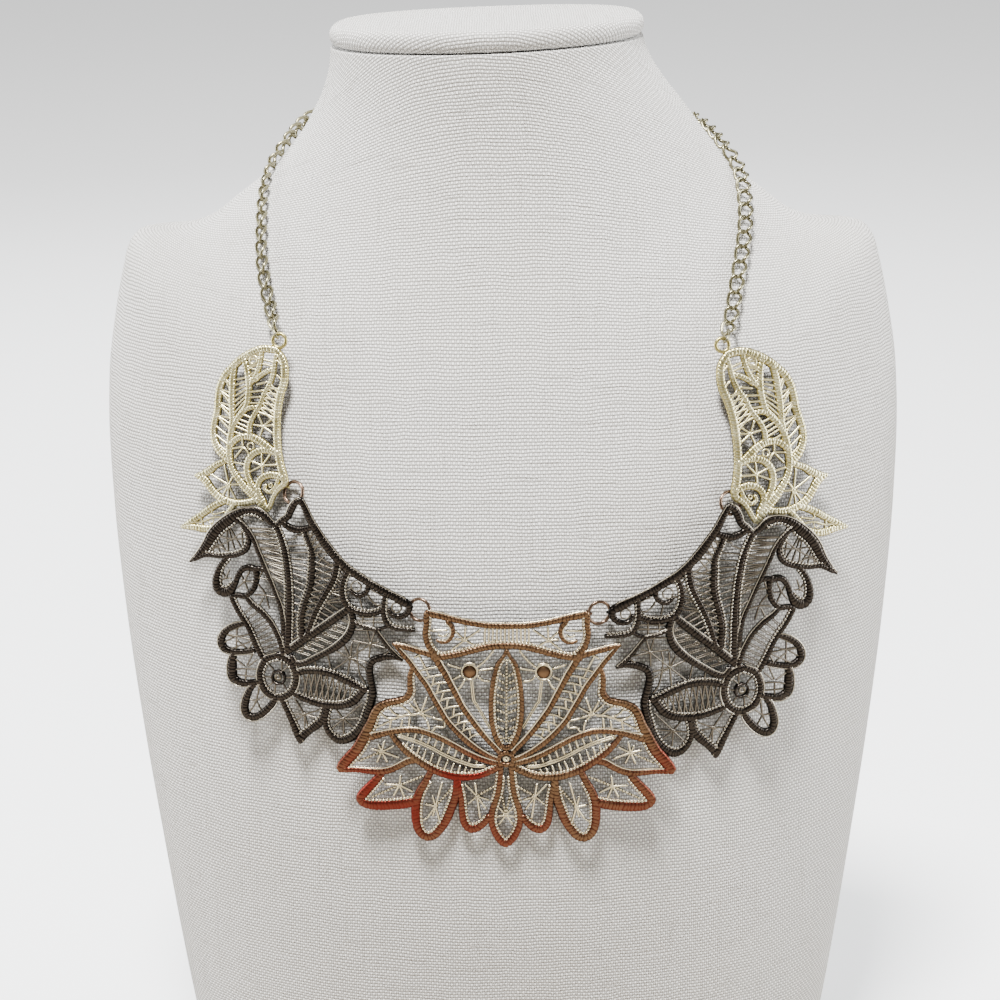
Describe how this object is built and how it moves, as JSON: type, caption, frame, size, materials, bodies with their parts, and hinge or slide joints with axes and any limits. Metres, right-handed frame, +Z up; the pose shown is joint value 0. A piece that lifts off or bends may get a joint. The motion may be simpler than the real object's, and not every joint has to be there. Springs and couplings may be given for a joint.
{
  "type": "bib necklace on neck bust",
  "caption": "Bib necklace of cast filigree plates linked by jump rings and a curb chain, held by a linen-covered neck bust for display.",
  "frame": {"origin": "on the surface it stands on, under the middle of the whole", "axes": "+Z up, the front of the bust towards -Y, the wearer's left at +X"},
  "size_m": [0.2288, 0.1232, 0.3195],
  "materials": {
    "linen": "coarse plain-weave linen, off-white",
    "copper": "antiqued copper with a reddish patina and pale worn wires",
    "gunmetal": "dark antiqued metal with bright worn edges",
    "champagne": "pale antiqued gold, softly polished",
    "rose_bronze": "polished rose bronze wire"
  },
  "bodies": {
    "root": {"bust_form": "linen", "bust_cap": "linen", "centre_plate": "copper", "side_plate_left": "gunmetal", "side_plate_right": "gunmetal", "end_plate_left": "champagne", "end_plate_right": "champagne", "ring_end_side_left": "rose_bronze", "ring_end_side_right": "rose_bronze", "ring_side_centre_left": "rose_bronze", "ring_side_centre_right": "rose_bronze", "connector_left": "champagne", "connector_right": "champagne", "chain_left": "champagne", "chain_right": "champagne", "clasp": "champagne"}
  },
  "joints": []
}
